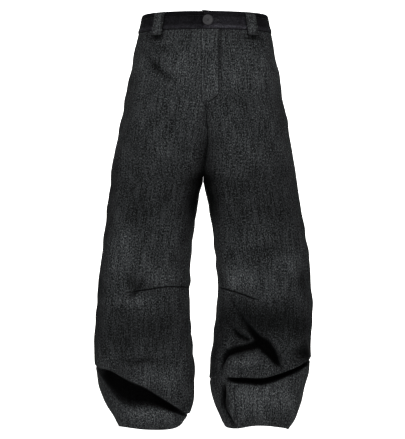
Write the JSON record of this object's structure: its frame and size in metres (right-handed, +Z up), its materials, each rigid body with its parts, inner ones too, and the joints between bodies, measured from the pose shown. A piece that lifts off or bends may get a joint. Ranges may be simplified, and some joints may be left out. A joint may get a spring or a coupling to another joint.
{
  "type": "pair of baggy jeans",
  "caption": "Wide barrel-leg denim jeans, hollow and filled out as worn, with waistband, fly, belt loops, knee darts and bunched narrow hems.",
  "frame": {"origin": "centre of the waist opening, at half the height of the waistband", "axes": "+Z up, out of the waist; -Y to the front, where the fly is; +X to the wearer's left"},
  "size_m": [0.5441, 0.283, 1.0328],
  "materials": {
    "denim": "matt charcoal twill with fine light grey flecks",
    "waistband_denim": "matt near-black twill",
    "button_plastic": "dark grey, satin"
  },
  "bodies": {
    "root": {"front_right": "denim", "front_left": "denim", "back_right": "denim", "back_left": "denim", "yoke_right": "denim", "yoke_left": "denim", "fly": "denim", "waistband": "waistband_denim", "loop_front_right": "denim", "loop_front_left": "denim", "loop_back_right": "denim", "loop_back_left": "denim", "loop_back_centre": "denim", "button": "button_plastic"}
  },
  "joints": []
}
